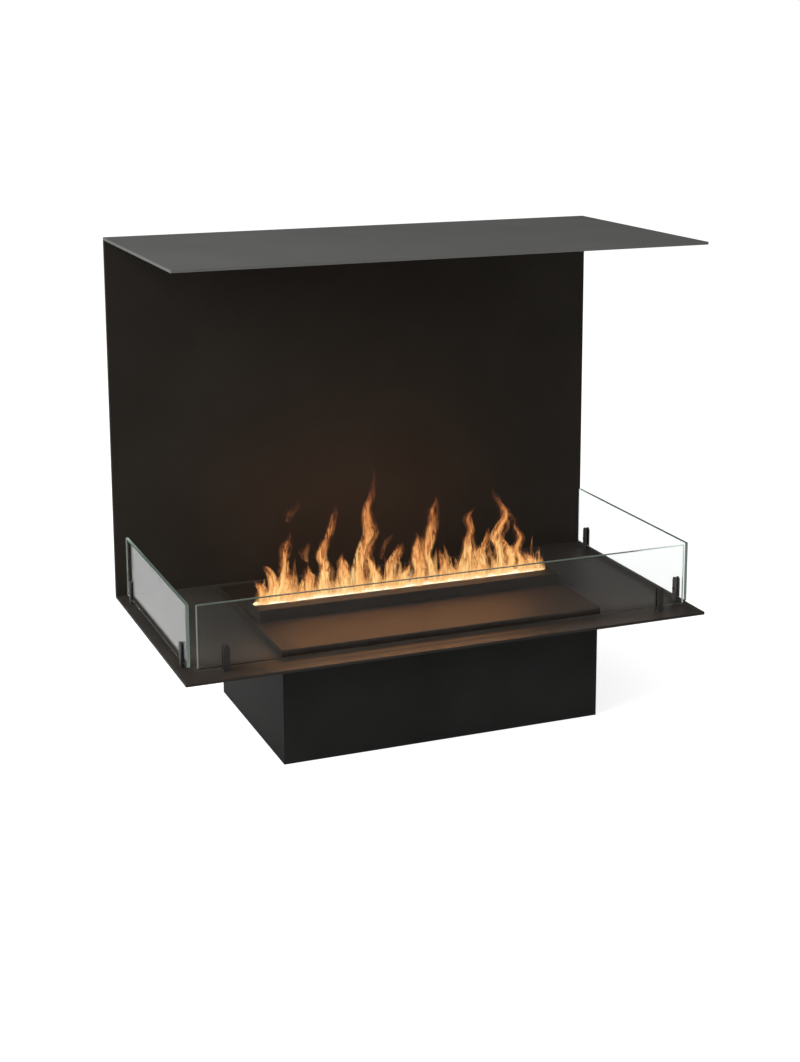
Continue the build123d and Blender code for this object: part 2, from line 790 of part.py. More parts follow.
# Terminal block beside the cable gland
block_spot = (280, 120)
with BuildPart() as terminal_block:
    with BuildSketch(burner.offset(sheet)):
        with Locations(block_spot):
            Rectangle(22, 56)
    extrude(amount=18)
    with BuildSketch(burner.offset(sheet + 18)):
        with Locations(block_spot):
            with GridLocations(10, 13, 2, 4):
                Rectangle(4.5, 4.5)
    extrude(amount=-5, mode=Mode.SUBTRACT)
    with BuildSketch(burner.offset(sheet + 18)):
        with Locations(block_spot):
            with GridLocations(1, 13, 1, 5):
                Rectangle(22, 1.6)
    extrude(amount=3)
save(terminal_block, "terminal_block")

# Switch bracket: a shelf under the service flap, hung from the rear wall of the housing
switch_x = 238
shelf_high = 186
shelf_front = 96
housing_inside = housing_depth / 2 - sheet
switch_hole = (27.4, 19.4)
with BuildPart() as switch_bracket:
    with BuildSketch(burner.offset(shelf_high)):
        with Locations((switch_x, (shelf_front + housing_inside) / 2)):
            Rectangle(44, housing_inside - shelf_front)
        with Locations((switch_x, filler_y)):
            Rectangle(*switch_hole, mode=Mode.SUBTRACT)
    extrude(amount=-sheet)
    with BuildSketch(burner.offset(shelf_high)):
        with Locations((switch_x, housing_inside - sheet / 2)):
            Rectangle(44, sheet)
    extrude(amount=-26)
save(switch_bracket, "switch_bracket")

# Power switch: body and rocker; the rocker rests on its off side
rocker_tilt = 8
rocker_z = shelf_high + 1
with BuildPart() as switch_body:
    with BuildSketch(burner.offset(shelf_high)):
        with Locations((switch_x, filler_y)):
            Rectangle(31, 23)
    extrude(amount=2)
    with BuildSketch(burner.offset(shelf_high)):
        with Locations((switch_x, filler_y)):
            Rectangle(27, 19)
    extrude(amount=-18)
    with BuildSketch(burner.offset(shelf_high + 2)):
        with Locations((switch_x, filler_y)):
            Rectangle(26, 14.6)
    extrude(amount=-7, mode=Mode.SUBTRACT)
save(switch_body, "switch_body")

lean = radians(rocker_tilt)
rocker_plane = Plane(
    (switch_x, burner_mid + filler_y + 6.8, rocker_z),
    x_dir=(cos(lean), 0, sin(lean)),
    z_dir=(0, -1, 0),
)
with BuildPart() as power_rocker:
    with BuildSketch(rocker_plane):
        with BuildLine():
            Polyline((-11.5, 0), (-11.5, 4), (0, 2.4), (11.5, 4), (11.5, 0), (4, -2.6), (-4, -2.6), (-11.5, 0))
        make_face()
    extrude(amount=13.6)
save(power_rocker, "power_rocker")

# Cable gland and its lock nut in the rear wall
gland_wall = upright((gland_x, burner_mid + housing_depth / 2, gland_z), (0, 1, 0))
gland_inside = 8
gland_nut_high = 4
with BuildPart() as cable_gland:
    with BuildSketch(gland_wall):
        RegularPolygon(13, 6)
    extrude(amount=6)
    with BuildSketch(gland_wall.offset(6)):
        RegularPolygon(11.5, 12)
    extrude(amount=10)
    with BuildSketch(gland_wall.offset(16)):
        RegularPolygon(11.5, 12)
    extrude(amount=7, taper=20)
    with BuildSketch(gland_wall):
        RegularPolygon(9.9, 24)
    extrude(amount=-sheet - gland_inside)
    with BuildSketch(gland_wall.offset(-sheet - gland_inside)):
        Circle(5)
    extrude(amount=sheet + gland_inside + 23, mode=Mode.SUBTRACT)
save(cable_gland, "cable_gland")

with BuildPart() as gland_nut:
    with BuildSketch(gland_wall.offset(-sheet)):
        RegularPolygon(14, 6)
        Circle(9.95, mode=Mode.SUBTRACT)
    extrude(amount=-gland_nut_high)
save(gland_nut, "gland_nut")
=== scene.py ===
# %% [markdown]
# # A three-sided water vapour fireplace
#
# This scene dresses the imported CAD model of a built-in fireplace that is open on three sides.
# The CAD gives every rigid piece in its place: the steel back, canopy and hearth, the glass
# screens in their clips, the burner cover with its nozzle bar, and the works in the housing.
# Blender adds what CAD can't say: powder coat, glass, dust, soft light, and the flames, which
# on the real object are fine mist lit from below by warm lamps.

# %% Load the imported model
import math
import random

import bmesh
import bpy
from mathutils import Matrix, Vector


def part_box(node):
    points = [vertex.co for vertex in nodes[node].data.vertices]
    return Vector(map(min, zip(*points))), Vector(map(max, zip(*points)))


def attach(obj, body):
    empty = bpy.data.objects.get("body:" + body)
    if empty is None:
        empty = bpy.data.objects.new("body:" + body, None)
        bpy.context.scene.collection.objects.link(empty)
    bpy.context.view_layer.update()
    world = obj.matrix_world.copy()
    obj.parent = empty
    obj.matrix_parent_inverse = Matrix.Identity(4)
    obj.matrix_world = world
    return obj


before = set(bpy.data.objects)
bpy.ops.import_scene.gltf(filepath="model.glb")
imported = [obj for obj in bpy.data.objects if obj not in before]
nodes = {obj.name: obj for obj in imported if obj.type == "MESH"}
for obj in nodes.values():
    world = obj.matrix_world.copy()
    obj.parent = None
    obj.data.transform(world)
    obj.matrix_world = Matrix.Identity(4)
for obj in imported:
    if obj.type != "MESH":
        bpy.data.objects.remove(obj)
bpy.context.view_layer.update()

# %% [markdown]
# ## The camera
#
# The photograph was taken from the front left and a little above. Its vanishing lines give the
# place of the lens, and the shift stands for the crop of the picture: the optical axis does not
# pass through the middle of the frame. How the camera points is built from three turns, in order.

# %% Camera
CAMERA_PLACE = (-1.21611, -3.06117, 1.28134)
scene = bpy.context.scene
lens = bpy.data.cameras.new("photo_lens")
lens.sensor_width = 36
lens.lens = 61.171
lens.shift_x = -0.02222
lens.shift_y = -0.13834
camera = bpy.data.objects.new("photo_camera", lens)
scene.collection.objects.link(camera)
yaw = Matrix.Rotation(math.radians(-22.269), 4, "Z")
pitch = Matrix.Rotation(math.radians(90 - 11.248), 4, "X")
roll = Matrix.Rotation(math.radians(-0.065), 4, "Z")
camera.matrix_world = Matrix.Translation(CAMERA_PLACE) @ yaw @ pitch @ roll
scene.camera = camera
scene.view_settings.view_transform = "Standard"
print("camera at", tuple(round(v, 3) for v in camera.location))

# %% [markdown]
# ## Helpers for shader nodes
#
# Node trees are easier to read when each line makes one node and says what feeds it. The helper
# takes a dictionary whose values are either plain numbers or other sockets, and links or sets
# each input as needed.


# %% Node helpers
def add_node(tree, kind, inputs=None, **settings):
    """Add one shader node; an input given as a socket is linked, any other value is set."""
    node = tree.nodes.new(kind)
    for name, value in settings.items():
        setattr(node, name, value)
    for name, value in (inputs or {}).items():
        if isinstance(value, bpy.types.NodeSocket):
            tree.links.new(value, node.inputs[name])
        else:
            node.inputs[name].default_value = value
    return node


def ramp(tree, factor, stops):
    """A colour ramp from a list of (position, colour) stops."""
    node = add_node(tree, "ShaderNodeValToRGB", {"Fac": factor})
    elements = node.color_ramp.elements
    while len(elements) < len(stops):
        elements.new(0.5)
    for element, (position, colour) in zip(elements, stops):
        element.position = position
        element.color = (*colour, 1)
    return node.outputs["Color"]


def to_range(tree, value, low, high, out_low=0.0, out_high=1.0):
    """Map a value from one range to another, held at both ends."""
    limits = {"From Min": low, "From Max": high, "To Min": out_low, "To Max": out_high}
    return add_node(tree, "ShaderNodeMapRange", {"Value": value, **limits}).outputs["Result"]


def mix_colour(tree, factor, first, second):
    """Mix two colours by a factor."""
    node = tree.nodes.new("ShaderNodeMix")
    node.data_type = "RGBA"
    for socket, value in ((node.inputs[0], factor), (node.inputs[6], first), (node.inputs[7], second)):
        if isinstance(value, bpy.types.NodeSocket):
            tree.links.new(value, socket)
        else:
            socket.default_value = value if isinstance(value, float) else (*value, 1)
    return node.outputs[2]


def calculate(tree, operation, first, second=0.0):
    """One Math node."""
    node = tree.nodes.new("ShaderNodeMath")
    node.operation = operation
    for socket, value in zip(node.inputs, (first, second)):
        if isinstance(value, bpy.types.NodeSocket):
            tree.links.new(value, socket)
        else:
            socket.default_value = value
    return node.outputs[0]


def new_group(name, inputs, outputs):
    """An empty shader node group with named sockets; returns the tree and its two end nodes."""
    tree = bpy.data.node_groups.new(name, "ShaderNodeTree")
    for label, kind, default in inputs:
        socket = tree.interface.new_socket(label, in_out="INPUT", socket_type=kind)
        socket.default_value = default
    for label, kind in outputs:
        tree.interface.new_socket(label, in_out="OUTPUT", socket_type=kind)
    return tree, tree.nodes.new("NodeGroupInput"), tree.nodes.new("NodeGroupOutput")


def place_group(tree, group, inputs):
    """Put a node group into a tree with its own values."""
    node = tree.nodes.new("ShaderNodeGroup")
    node.node_tree = group
    for name, value in inputs.items():
        if isinstance(value, bpy.types.NodeSocket):
            tree.links.new(value, node.inputs[name])
        else:
            node.inputs[name].default_value = value
    return node


# %% [markdown]
# ## Effects that several finishes share
#
# Three effects appear on more than one material. *Fine grain* is the pebbled skin of powder coat
# and moulded plastic. *Edge rub* is the paler line where a coat thins over a sharp edge: a Bevel
# node rounds the normal near an edge, and the difference from the flat normal is the mask.
# *Settled dust* lies on what faces up. Each is a node group, so that its recipe is kept in one
# place and every material only sets its own values.

# %% Shared groups: fine grain, edge rub and settled dust
FLOAT = "NodeSocketFloat"
grain, grain_in, grain_out = new_group(
    "fine_grain", [("Scale", FLOAT, 900.0), ("Contrast", FLOAT, 0.5)], [("Height", FLOAT), ("Tone", FLOAT)]
)
grain_place = add_node(grain, "ShaderNodeTexCoord").outputs["Object"]
pebbles = add_node(grain, "ShaderNodeTexNoise", {"Vector": grain_place, "Scale": grain_in.outputs["Scale"]})
pebbles.inputs["Detail"].default_value = 2.0
clouds = add_node(grain, "ShaderNodeTexNoise", {"Vector": grain_place, "Scale": 7.0, "Detail": 5.0})
patches = to_range(grain, clouds.outputs["Fac"], 0.35, 0.65, -0.5, 0.5)
tone = calculate(grain, "MULTIPLY", patches, grain_in.outputs["Contrast"])
grain.links.new(pebbles.outputs["Fac"], grain_out.inputs["Height"])
grain.links.new(calculate(grain, "ADD", tone, 0.5), grain_out.inputs["Tone"])

rub, rub_in, rub_out = new_group(
    "edge_rub", [("Radius", FLOAT, 0.001), ("Amount", FLOAT, 0.6)], [("Mask", FLOAT)]
)
rounded = add_node(rub, "ShaderNodeBevel", {"Radius": rub_in.outputs["Radius"]}, samples=4)
flat = add_node(rub, "ShaderNodeNewGeometry").outputs["Normal"]
likeness = add_node(
    rub, "ShaderNodeVectorMath", {0: rounded.outputs["Normal"], 1: flat}, operation="DOT_PRODUCT"
)
rub_edge = to_range(rub, likeness.outputs["Value"], 0.995, 0.8)
rub_place = add_node(rub, "ShaderNodeTexCoord").outputs["Object"]
rub_noise = add_node(rub, "ShaderNodeTexNoise", {"Vector": rub_place, "Scale": 60.0, "Detail": 4.0})
rub_patch = to_range(rub, rub_noise.outputs["Fac"], 0.4, 0.6, 0.35, 1.0)
rub_mask = calculate(
    rub, "MULTIPLY", calculate(rub, "MULTIPLY", rub_edge, rub_patch), rub_in.outputs["Amount"]
)
rub.links.new(rub_mask, rub_out.inputs["Mask"])

dust, dust_in, dust_out = new_group("settled_dust", [("Amount", FLOAT, 0.2)], [("Mask", FLOAT)])
dust_up = add_node(
    dust, "ShaderNodeSeparateXYZ", {"Vector": add_node(dust, "ShaderNodeTexCoord").outputs["Normal"]}
)
dust_face = to_range(dust, dust_up.outputs["Z"], 0.6, 1.0)
dust_place = add_node(dust, "ShaderNodeTexCoord").outputs["Object"]
dust_noise = add_node(
    dust, "ShaderNodeTexNoise", {"Vector": dust_place, "Scale": 14.0, "Detail": 7.0, "Roughness": 0.7}
)
dust_patch = to_range(dust, dust_noise.outputs["Fac"], 0.35, 0.7, 0.25, 1.0)
dust_mask = calculate(
    dust, "MULTIPLY", calculate(dust, "MULTIPLY", dust_face, dust_patch), dust_in.outputs["Amount"]
)
dust.links.new(dust_mask, dust_out.inputs["Mask"])
print("groups:", [group.name for group in bpy.data.node_groups])

# %% [markdown]
# ## Solid finishes
#
# Steel, rubber and plastics all follow one pattern: a base colour that drifts a little, a fine
# grain that feeds a Bump node, a rubbed edge and a trace of dust. One function makes them all,
# and each finish passes its own colours, roughness and grain. Values that are the same over the
# whole surface, such as the specular level, are set on the shader's own sockets.


# %% One recipe for coated, moulded and plated surfaces
def solid_finish(name, colour, rough, grain_scale, bump, **extra):
    """A procedural finish: drifting colour, grain, rubbed edges and settled dust."""
    material = bpy.data.materials.new(name)
    material.use_nodes = True
    tree = material.node_tree
    shader = tree.nodes["Principled BSDF"]
    body = place_group(tree, grain, {"Scale": grain_scale, "Contrast": extra.get("contrast", 0.5)})
    edges = place_group(tree, rub, {"Radius": extra.get("edge", 0.0008), "Amount": extra.get("rub", 0.5)})
    powder = place_group(tree, dust, {"Amount": extra.get("dust", 0.1)})
    dark = tuple(0.75 * part for part in colour)
    light = tuple(1.25 * part for part in colour)
    base = mix_colour(tree, body.outputs["Tone"], dark, light)
    worn = mix_colour(
        tree, edges.outputs["Mask"], base, extra.get("rub_colour", tuple(2.5 * p for p in colour))
    )
    final = mix_colour(tree, powder.outputs["Mask"], worn, extra.get("dust_colour", (0.18, 0.17, 0.16)))
    tree.links.new(final, shader.inputs["Base Color"])
    drift = to_range(tree, body.outputs["Tone"], 0.0, 1.0, rough - 0.05, rough + 0.05)
    dulled = calculate(tree, "ADD", drift, calculate(tree, "MULTIPLY", powder.outputs["Mask"], 0.3))
    tree.links.new(dulled, shader.inputs["Roughness"])
    relief = add_node(
        tree, "ShaderNodeBump", {"Height": body.outputs["Height"], "Strength": bump, "Distance": 0.0003}
    )
    tree.links.new(relief.outputs["Normal"], shader.inputs["Normal"])
    shader.inputs["Metallic"].default_value = extra.get("metallic", 0.0)
    shader.inputs["Specular IOR Level"].default_value = extra.get("specular", 0.5)
    shader.inputs["Subsurface Weight"].default_value = extra.get("subsurface", 0.0)
    return material


def dress(material, *names):
    """Give CAD nodes a material."""
    for name in names:
        for slot in nodes[name].material_slots:
            slot.material = material
        if not nodes[name].material_slots:
            nodes[name].data.materials.append(material)
    print(material.name, "on", len(names), "nodes")


# %% [markdown]
# ## Black powder coat
#
# All the sheet steel is coated black, and the same coat is given lit and shaded copies. The
# canopy lies open to the lamps, so its base colour is painted light: dark grey. The upright panel's
# base colour is painted shade: nearly black. The hearth and the cover have a warm tint in their
# base colours, a painted glow from the flames. The coat is satin: rough enough to blur what it
# mirrors, with a grain too fine to see from here.

# %% Powder coat on the steel
coat = {"rub": 0.3, "rub_colour": (0.06, 0.06, 0.058), "edge": 0.0012}
# Hearth: the warm tint in the base colour is a painted glow from the flames.
plates = solid_finish(
    "hearth_coat_painted_glow", (0.037, 0.032, 0.0275), 0.55, 1100, 0.02, specular=0.2, dust=0.03, **coat
)
# Canopy: the lighter, dark grey base colour is painted light.
canopy = solid_finish(
    "canopy_coat_painted_light", (0.15, 0.149, 0.144), 0.5, 1100, 0.02, specular=0.5, contrast=0.15, dust=0.04, **coat
)
# Panel: the nearly black base colour is painted shade.
upright = solid_finish(
    "panel_coat_painted_shade", (0.026, 0.0228, 0.0188), 0.6, 1100, 0.02, specular=0.1, contrast=0.3, dust=0.03,
    **coat
)
casing = solid_finish(
    "casing_coat", (0.024, 0.0236, 0.0226), 0.55, 1100, 0.03, specular=0.16, dust=0.06, **coat
)
# Burner cover: the warm tint in the base colour is a painted glow from the flames.
cover = solid_finish(
    "cover_coat_painted_glow", (0.021, 0.015, 0.0108), 0.6, 1100, 0.004, specular=0.14, dust=0.03, **coat
)
dress(plates, "hearth_plate")
dress(canopy, "canopy_plate")
dress(upright, "back_panel", "panel_ribs")
dress(casing, "burner_housing", "switch_bracket")
dress(cover, "burner_cover", "nozzle_bar", "service_flap")
clips = solid_finish(
    "clip_coat", (0.045, 0.0425, 0.04), 0.45, 1600, 0.04, specular=0.4, rub=0.5, edge=0.0006
)
dress(clips, "glass_clips")

# %% [markdown]
# ## Small metal, rubber and plastic parts
#
# The works in the housing are only seen with the cover lifted, but they are what a repairer
# looks at, so each gets the finish of its kind: zinc-plated screws, black rubber, moulded black
# plastic, the milky plastic of a water tank and the orange foam of a float.

# %% Finishes of the small parts
zinc = solid_finish(
    "zinc_plate", (0.52, 0.53, 0.54), 0.34, 400, 0.06, metallic=1.0, contrast=0.8, rub=0.3,
    rub_colour=(0.8, 0.8, 0.8)
)
oxide = solid_finish(
    "black_oxide", (0.035, 0.035, 0.037), 0.38, 700, 0.08, metallic=0.6, rub=0.7, edge=0.0004,
    rub_colour=(0.2, 0.2, 0.2)
)
rubber = solid_finish("black_rubber", (0.012, 0.012, 0.012), 0.8, 500, 0.3, specular=0.25, dust=0.12)
moulded = solid_finish(
    "moulded_black", (0.018, 0.018, 0.019), 0.5, 1400, 0.35, rub=0.3, rub_colour=(0.06, 0.06, 0.06)
)
milky = solid_finish(
    "milky_plastic", (0.62, 0.65, 0.66), 0.42, 300, 0.1, contrast=0.15, rub=0.2,
    rub_colour=(0.85, 0.87, 0.88), subsurface=0.15
)
foam = solid_finish(
    "orange_foam", (0.75, 0.22, 0.04), 0.75, 900, 0.6, contrast=0.3, rub=0.2,
    rub_colour=(0.9, 0.4, 0.12)
)
case = solid_finish(
    "bare_aluminium", (0.6, 0.6, 0.61), 0.4, 260, 0.1, metallic=1.0, contrast=0.5, rub=0.4,
    rub_colour=(0.85, 0.85, 0.85)
)
ivory = solid_finish(
    "ivory_plastic", (0.66, 0.63, 0.52), 0.45, 700, 0.15, contrast=0.15, rub=0.2,
    rub_colour=(0.8, 0.78, 0.7)
)
dress(zinc, "wall_bosses", "panel_screws", "fan_screws", "board_standoffs", "housing_screws", "clip_screws")
dress(oxide, "clamp_screws", "flap_pin", "float_stem")
dress(rubber, "clip_pads", "tank_feet", "drain_washer", "hood_gasket")
dress(moulded, "vapour_grille", "filler_cap", "fan_frame_left", "fan_frame_right", "impeller_left")
dress(moulded, "impeller_right", "switch_body", "power_rocker", "cable_gland", "gland_nut")
dress(milky, "water_tank", "filler_neck", "drain_plug")
dress(foam, "level_float")
dress(case, "power_supply", "light_bar_front", "light_bar_rear")
dress(ivory, "terminal_block")

# %% [markdown]
# ## Brushed stainless steel
#
# The mist hood and the mist makers are stainless, because they are always wet. Brushing leaves
# fine scratches in one direction. Noise stretched far along one axis gives them: it drives the
# roughness and a very low bump.


# %% Brushed stainless
def brushed_finish(name, stretch, colour):
    """Stainless sheet with scratches along the axis where `stretch` is small."""
    material = bpy.data.materials.new(name)
    material.use_nodes = True
    tree = material.node_tree
    shader = tree.nodes["Principled BSDF"]
    place = add_node(tree, "ShaderNodeTexCoord").outputs["Object"]
    lines = add_node(tree, "ShaderNodeMapping", {"Vector": place, "Scale": stretch})
    streaks = add_node(
        tree, "ShaderNodeTexNoise", {"Vector": lines.outputs["Vector"], "Scale": 1.0, "Detail": 6.0}
    )
    stains = add_node(tree, "ShaderNodeTexNoise", {"Vector": place, "Scale": 18.0, "Detail": 5.0})
    edges = place_group(tree, rub, {"Radius": 0.001, "Amount": 0.5})
    dull = tuple(0.78 * part for part in colour)
    body = mix_colour(tree, to_range(tree, stains.outputs["Fac"], 0.35, 0.7), colour, dull)
    tree.links.new(
        mix_colour(tree, edges.outputs["Mask"], body, (0.85, 0.85, 0.84)), shader.inputs["Base Color"]
    )
    tree.links.new(to_range(tree, streaks.outputs["Fac"], 0.3, 0.7, 0.24, 0.46), shader.inputs["Roughness"])
    relief = add_node(
        tree, "ShaderNodeBump", {"Height": streaks.outputs["Fac"], "Strength": 0.12, "Distance": 0.0002}
    )
    tree.links.new(relief.outputs["Normal"], shader.inputs["Normal"])
    shader.inputs["Metallic"].default_value = 1.0
    return material


dress(brushed_finish("brushed_hood", (6, 900, 900), (0.5, 0.5, 0.49)), "mist_hood")
dress(brushed_finish("turned_puck", (600, 600, 40), (0.45, 0.45, 0.44)), "mist_makers")

# %% [markdown]
# ## The circuit board
#
# A solder mask is green lacquer over copper tracks. A brick pattern with thin mortar reads as
# rows of tracks. The tall parts on the board are dark, so colour follows height: everything
# above the board's face is nearly black.

# %% Circuit board
board = bpy.data.materials.new("solder_mask")
board.use_nodes = True
tree = board.node_tree
board_place = add_node(tree, "ShaderNodeTexCoord").outputs["Object"]
tracks = add_node(tree, "ShaderNodeTexBrick", {"Vector": board_place, "Scale": 90.0, "Mortar Size": 0.06})
tracks.inputs["Color1"].default_value = (0.01, 0.09, 0.035, 1)
tracks.inputs["Color2"].default_value = (0.012, 0.12, 0.045, 1)
tracks.inputs["Mortar"].default_value = (0.05, 0.26, 0.08, 1)
BOARD_FACE, ABOVE_FACE = 0.0138, 0.0141
board_height = add_node(tree, "ShaderNodeSeparateXYZ", {"Vector": board_place}).outputs["Z"]
tall = to_range(tree, board_height, BOARD_FACE, ABOVE_FACE)
board_edges = place_group(tree, rub, {"Radius": 0.0005, "Amount": 0.5})
board_top = mix_colour(tree, tall, tracks.outputs["Color"], (0.03, 0.03, 0.034))
board_worn = mix_colour(tree, board_edges.outputs["Mask"], board_top, (0.3, 0.3, 0.28))
tree.links.new(board_worn, tree.nodes["Principled BSDF"].inputs["Base Color"])
tree.links.new(to_range(tree, tall, 0.0, 1.0, 0.25, 0.5), tree.nodes["Principled BSDF"].inputs["Roughness"])
dress(board, "control_board")

# %% [markdown]
# ## Glass
#
# The screens are 6 mm float glass with ground edges. Light that enters the narrow edge travels a
# long way through the pane and comes out pale green, so the faces stay clear while the edges are
# green and a little frosted. The face normal tells the two apart, and a trace of green emission on
# the edges is painted glow for the light that the edge lets out. The foot of a pane is told by its
# height; its base colour is painted dark and it gets no glow, as painted shade, because no light
# gets out of it. The refractive index is not that of real glass, which is about 1.5: it is set
# lower, so that the panes mirror as little of the white room as they do in the photograph. Glass
# would also throw a full shadow in Cycles, so shadow rays see a transparent surface instead.


# %% Glass with green ground edges
pane_low, pane_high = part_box("glass_front")
PANE_FOOT = round(pane_low[2], 4)
print("the panes stand at", PANE_FOOT, "m")


def pane_glass(name, thickness_axis, index):
    """Clear faces across `thickness_axis`, green frosted edges with painted glow elsewhere, and a bottom
    edge painted dark as shade.
    """
    material = bpy.data.materials.new(name)
    material.use_nodes = True
    tree = material.node_tree
    shader = tree.nodes["Principled BSDF"]
    surface = add_node(tree, "ShaderNodeTexCoord")
    facing = add_node(tree, "ShaderNodeSeparateXYZ", {"Vector": surface.outputs["Normal"]})
    straight = calculate(tree, "ABSOLUTE", facing.outputs[thickness_axis])
    edge = to_range(tree, straight, 0.95, 0.9)
    place = add_node(tree, "ShaderNodeSeparateXYZ", {"Vector": surface.outputs["Object"]})
    foot = to_range(tree, place.outputs["Z"], PANE_FOOT + 0.003, PANE_FOOT + 0.002)
    level = calculate(tree, "ABSOLUTE", facing.outputs["Z"])
    upper = calculate(tree, "MULTIPLY", edge, to_range(tree, level, 0.5, 0.9))
    upright_edge = calculate(tree, "MULTIPLY", edge, to_range(tree, level, 0.5, 0.2))
    # Base colour: the edges' own green, and painted shade (near black) on the bottom edge.
    rim = mix_colour(tree, foot, (0.42, 0.52, 0.47), (0.01, 0.012, 0.011))
    tree.links.new(mix_colour(tree, edge, (0.985, 0.995, 0.99), rim), shader.inputs["Base Color"])
    tree.links.new(calculate(tree, "MULTIPLY", edge, 0.32), shader.inputs["Roughness"])
    # Painted glow on the upper and upright edges, none on the bottom edge.
    glow = mix_colour(tree, upper, (0.0, 0.0, 0.0), (0.085, 0.115, 0.095))
    lit_edge = mix_colour(tree, upright_edge, glow, (0.12, 0.155, 0.135))
    tree.links.new(mix_colour(tree, foot, lit_edge, (0.0, 0.0, 0.0)), shader.inputs["Emission Color"])
    shader.inputs["Emission Strength"].default_value = 1.0
    shader.inputs["Transmission Weight"].default_value = 1.0
    shader.inputs["IOR"].default_value = index
    shadow = add_node(tree, "ShaderNodeLightPath").outputs["Is Shadow Ray"]
    clear = add_node(tree, "ShaderNodeBsdfTransparent", {"Color": (0.9, 0.94, 0.92, 1)})
    both = tree.nodes.new("ShaderNodeMixShader")
    tree.links.new(shadow, both.inputs[0])
    tree.links.new(shader.outputs[0], both.inputs[1])
    tree.links.new(clear.outputs[0], both.inputs[2])
    tree.links.new(both.outputs[0], tree.nodes["Material Output"].inputs["Surface"])
    return material


dress(pane_glass("side_glass", "X", 1.34), "glass_left", "glass_right")
dress(pane_glass("front_glass", "Y", 1.25), "glass_front")

# %% [markdown]
# ## The flames
#
# On the real object the flames are rising mist lit from below, so they are palest at the slot
# and fade upwards. A volume would be the literal way, but it renders slowly and does not travel
# to other programs. Here each tongue starts as a centre line with a width at each point. The
# points were picked by eye in the photograph, and a separate program carried them through the
# camera onto the upright plane of the slot. The roots, the tips and some widths were then set
# one by one. Each line becomes a bundle of thin curled sheets that wander round it and stop at
# different heights. That is what mist does when air shears it.

# %% Centre lines of the tongues: across, up and half width, in millimetres
grille_low, grille_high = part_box("vapour_grille")
bar_low, bar_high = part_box("nozzle_bar")
LIP_GAP = 0.0002
SLOT_Y = round((grille_low[1] + grille_high[1]) / 2, 4)
LIP_Z = round(bar_high[2] + LIP_GAP, 4)
ROOT_MM = 232
LIGHT_AND_DENSITY_FALLOFF_MM = 520
TONGUES = [
    [(-283, 232, 12), (-284, 257, 11), (-292, 272, 8), (-298, 280, 2)],
    [(-268, 232, 12), (-265, 259, 12), (-267, 282, 10), (-272, 298, 8), (-277, 306, 6), (-283, 296, 1)],
    [
        (-252, 232, 10), (-250, 257, 10), (-244, 285, 8), (-241, 310, 8), (-239, 336, 10),
        (-231, 353, 9), (-227, 368, 2)
    ],
    [(-234, 386, 2), (-226, 402, 9), (-216, 412, 9), (-210, 424, 2)],
    [(-231, 232, 14), (-234, 265, 15), (-232, 282, 12), (-237, 304, 3)],
    [(-201, 232, 16), (-197, 262, 14), (-193, 283, 10), (-199, 307, 2)],
    [(-198, 306, 3), (-202, 324, 11), (-196, 337, 9), (-188, 348, 2)],
    [
        (-166, 232, 16), (-164, 264, 16), (-161, 291, 12), (-169, 315, 10), (-163, 337, 9),
        (-153, 361, 8), (-148, 384, 9), (-142, 400, 7), (-150, 415, 2)
    ],
    [(-122, 232, 16), (-122, 265, 14), (-126, 287, 11), (-128, 304, 6), (-126, 318, 2)],
    [
        (-94, 232, 18), (-94, 267, 16), (-92, 292, 12), (-86, 319, 12), (-74, 347, 14), (-79, 373, 13),
        (-79, 396, 9), (-69, 418, 8), (-63, 444, 6), (-65, 468, 4), (-70, 490, 1)
    ],
    [(-68, 232, 14), (-60, 259, 12), (-70, 280, 10), (-80, 303, 9), (-72, 323, 9), (-64, 338, 3)],
    [(-34, 232, 10), (-28, 259, 10), (-30, 283, 10), (-21, 302, 9), (-11, 316, 6), (-7, 326, 1)],
    [(-50, 295, 2), (-44, 318, 4), (-33, 333, 6), (-21, 345, 1)],
    [(-7, 232, 14), (-5, 255, 12), (5, 273, 6), (7, 291, 1)],
    [(23, 232, 16), (30, 260, 14), (24, 289, 14), (22, 313, 13), (24, 330, 8), (20, 342, 1)],
    [
        (52, 232, 12), (52, 264, 10), (44, 294, 10), (48, 324, 12), (52, 355, 10), (54, 382, 9),
        (63, 399, 6), (56, 413, 1)
    ],
    [(73, 232, 10), (79, 258, 8), (75, 281, 6), (69, 303, 1)],
    [(98, 232, 15), (100, 252, 8), (92, 264, 2)],
    [
        (121, 232, 17), (125, 263, 17), (129, 289, 14), (127, 313, 10), (133, 332, 8), (127, 357, 10),
        (137, 371, 7), (144, 381, 1)
    ],
    [(155, 232, 15), (159, 261, 13), (152, 286, 11), (165, 305, 10), (169, 324, 6), (167, 338, 1)],
    [
        (189, 232, 17), (197, 261, 13), (193, 290, 11), (184, 313, 13), (197, 335, 13), (207, 354, 11),
        (196, 377, 8), (186, 396, 11), (177, 415, 2)
    ],
    [(215, 232, 17), (225, 256, 15), (216, 283, 12), (203, 306, 9), (195, 325, 1)],
    [(242, 232, 15), (244, 255, 11), (231, 281, 9), (240, 306, 8), (226, 332, 6), (233, 361, 1)],
    [(264, 232, 13), (264, 251, 11), (255, 268, 4), (251, 281, 1)],
]
tallest = max(point[1] for line in TONGUES for point in line)
print(len(TONGUES), "tongues over the slot at", SLOT_Y, "m, the tallest reaches", tallest, "mm")

# %% [markdown]
# A centre line with a handful of points would bend like a wire, so it is resampled as a smooth
# curve first. Catmull-Rom interpolation passes through every point of the list, which a Bezier
# fit would not. Each sheet is five points wide and curled like a
# shaving, so it has some width from every side. Two layers of the mesh carry what the shader
# needs: the first falls from the slot to the tip, and is both the painted light of the lamps below
# and the thinning of the mist; *body* falls from the middle of the sheet to its two edges and its
# ends, so that no sheet has a hard outline.


